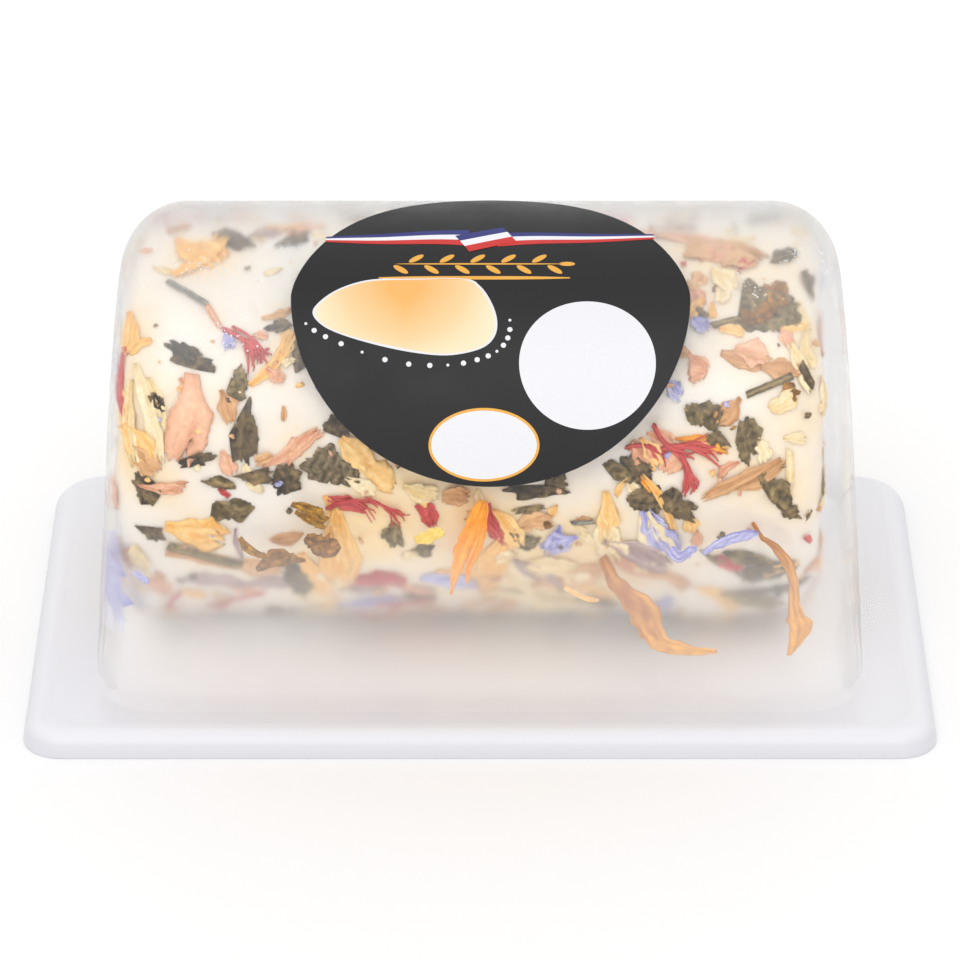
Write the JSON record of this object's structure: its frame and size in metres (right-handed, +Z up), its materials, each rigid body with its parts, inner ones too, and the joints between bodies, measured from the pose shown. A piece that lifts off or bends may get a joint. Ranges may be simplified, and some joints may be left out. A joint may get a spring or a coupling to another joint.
{
  "type": "goat cheese log in a clear-lidded tray",
  "caption": "Soft goat cheese log rolled in dried petals and herbs, shut in a shallow tray under a clear tunnel-shaped lid with an egg-shaped label.",
  "frame": {"origin": "on the table under the middle of the tray", "axes": "+X along the log, -Y the side that the label faces, +Z up"},
  "size_m": [0.1048, 0.065, 0.0529],
  "materials": {
    "tray_plastic": "milky, softly shining thin sheet",
    "clear_plastic": "clear thin plastic sheet with a faint haze",
    "cheese": "matt, soft and slightly moist",
    "label_film": "satin printed film",
    "dried_herbs": "matt dried leaf flakes",
    "dried_petals": "matt dried petals in several colours"
  },
  "bodies": {
    "root": {"tray": "tray_plastic", "lid": "clear_plastic", "cheese_log": "cheese", "label": "label_film"}
  },
  "joints": []
}
